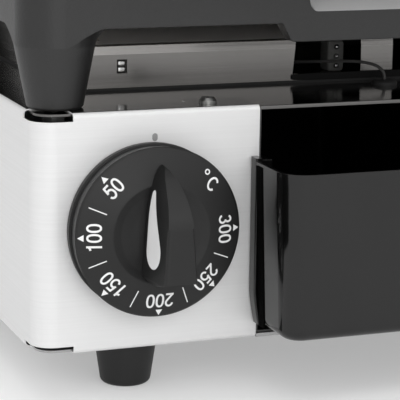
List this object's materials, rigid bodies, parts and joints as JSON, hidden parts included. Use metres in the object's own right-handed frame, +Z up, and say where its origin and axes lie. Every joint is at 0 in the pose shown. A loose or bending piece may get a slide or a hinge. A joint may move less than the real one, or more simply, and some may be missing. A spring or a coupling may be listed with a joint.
{
  "type": "contact grill",
  "caption": "Countertop contact grill with ribbed cast plates, a swinging arm that carries a tilting upper plate, a thermostat dial and a pull-out drip tray.",
  "frame": {"origin": "on the standing surface, under the middle of the bounding box", "axes": "+Z up, +X to the right seen from the front, +Y towards the hinge at the back"},
  "size_m": [0.348, 0.3674, 0.2307],
  "materials": {
    "stainless_sheet": "bright satin stainless",
    "stainless_deck": "polished stainless",
    "galvanised_sheet": "plain zinc-plated sheet",
    "steel_screws": "zinc-plated steel",
    "black_feet": "matte black",
    "cast_plate": "dark enamelled casting",
    "heater_sheath": "oxidised steel sheath",
    "mineral_board": "pressed mineral board",
    "polished_sheet": "polished stainless",
    "black_rubber": "matte rubber",
    "control_plastic": "black moulded plastic",
    "plated_steel": "plated steel",
    "capillary_copper": "copper tube",
    "lens_amber": "clear amber plastic",
    "white_ceramic": "unglazed ceramic",
    "tray_enamel": "gloss black enamel",
    "dial_plastic": "satin black plastic",
    "dial_inlay": "light grey plastic",
    "bronze": "sintered bronze",
    "arm_stainless": "bright satin stainless tube",
    "grip_plastic": "satin black plastic"
  },
  "bodies": {
    "base": {"base_plate": "galvanised_sheet", "box_gasket": "black_rubber", "bracket_screws": "steel_screws", "cable_gland": "control_plastic", "capillary_bulb": "capillary_copper", "deck_plate": "stainless_deck", "deck_screws": "steel_screws", "foot_back_left": "black_feet", "foot_back_right": "black_feet", "foot_front_left": "black_feet", "foot_front_right": "black_feet", "foot_screw_nuts": "steel_screws", "foot_screws": "steel_screws", "gland_nut": "control_plastic", "heater_cover": "polished_sheet", "hinge_bracket_left": "plated_steel", "hinge_bracket_right": "plated_steel", "hinge_bush_left": "bronze", "hinge_bush_right": "bronze", "hinge_cover": "polished_sheet", "hinge_spring_left": "plated_steel", "hinge_spring_right": "plated_steel", "housing_left": "stainless_sheet", "housing_right": "stainless_sheet", "lamp_bezels": "control_plastic", "lamp_lenses": "lens_amber", "lead_grommet": "black_rubber", "lead_sleeve": "black_rubber", "lower_grill_plate": "cast_plate", "lower_heater": "heater_sheath", "lower_insulation": "mineral_board", "plate_bolts": "steel_screws", "rear_panel": "stainless_sheet", "rear_screws": "steel_screws", "terminal_block": "white_ceramic", "thermostat_body": "control_plastic", "thermostat_nut": "plated_steel", "tray_bay": "galvanised_sheet", "tray_runners": "control_plastic", "wiring_box": "polished_sheet"},
    "arm": {"hinge_shaft": "plated_steel", "arm_hub_left": "plated_steel", "arm_hub_right": "plated_steel", "arm_tube": "arm_stainless", "handle_grip": "grip_plastic", "pivot_bolt_left": "plated_steel", "pivot_bolt_right": "plated_steel"},
    "upper_plate": {"upper_grill_plate": "cast_plate", "upper_heater": "heater_sheath", "upper_insulation": "mineral_board", "upper_cover": "polished_sheet", "cover_nuts": "steel_screws", "pivot_bush_left": "bronze", "pivot_bush_right": "bronze"},
    "dial": {"dial_disc": "dial_plastic", "dial_grip": "dial_plastic", "grip_inlay": "dial_inlay", "dial_shaft": "plated_steel"},
    "tray": {"drip_tray": "tray_enamel"}
  },
  "joints": [
    {"name": "lid_hinge", "type": "hinge", "parent": "base", "child": "arm", "pos_m": [0, 0.1453, 0.205], "axis": [-1, 0, 0], "range_deg": [0, 65]},
    {"name": "plate_tilt", "type": "hinge", "parent": "arm", "child": "upper_plate", "pos_m": [0, -0.0107, 0.205], "axis": [-1, 0, 0], "range_deg": [-10, 0]},
    {"name": "dial_turn", "type": "hinge", "parent": "base", "child": "dial", "pos_m": [-0.1195, -0.1451, 0.0747], "axis": [0, 1, 0], "range_deg": [0, 270]},
    {"name": "tray_slide", "type": "slide", "parent": "base", "child": "tray", "axis": [0, -1, 0], "range_m": [0, 0.2]}
  ],
  "couplings": [
    {"joint": "plate_tilt", "follows": "lid_hinge", "ratio": -0.15}
  ]
}
